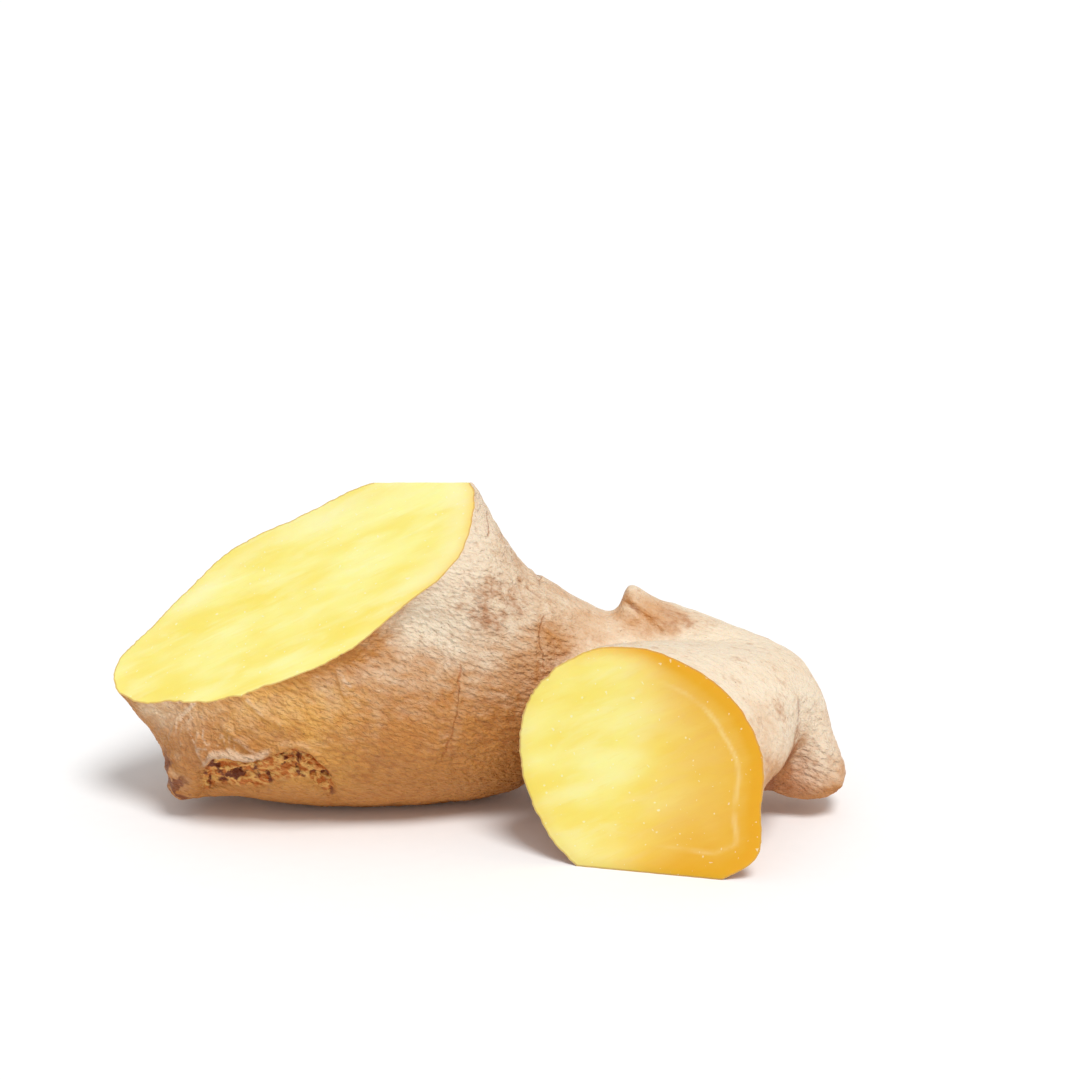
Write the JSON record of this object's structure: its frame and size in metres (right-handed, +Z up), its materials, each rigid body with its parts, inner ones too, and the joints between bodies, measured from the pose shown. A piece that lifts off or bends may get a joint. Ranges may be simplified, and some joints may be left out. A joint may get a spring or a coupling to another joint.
{
  "type": "ginger root",
  "caption": "Fresh ginger root with a long slanting cut face on the large knuckle and one thick finger sliced off flat.",
  "frame": {"origin": "bottom centre of the root's bounding box, on the surface it lies on", "axes": "+X along the root towards the blunt right tip, -Y the way the sliced finger points, +Z up"},
  "size_m": [0.1524, 0.0602, 0.0669],
  "materials": {
    "skin": "matt, finely wrinkled, pale tan skin with bright yellow moist flesh on the cut faces"
  },
  "bodies": {
    "root": {"ginger_root": "skin"}
  },
  "joints": []
}
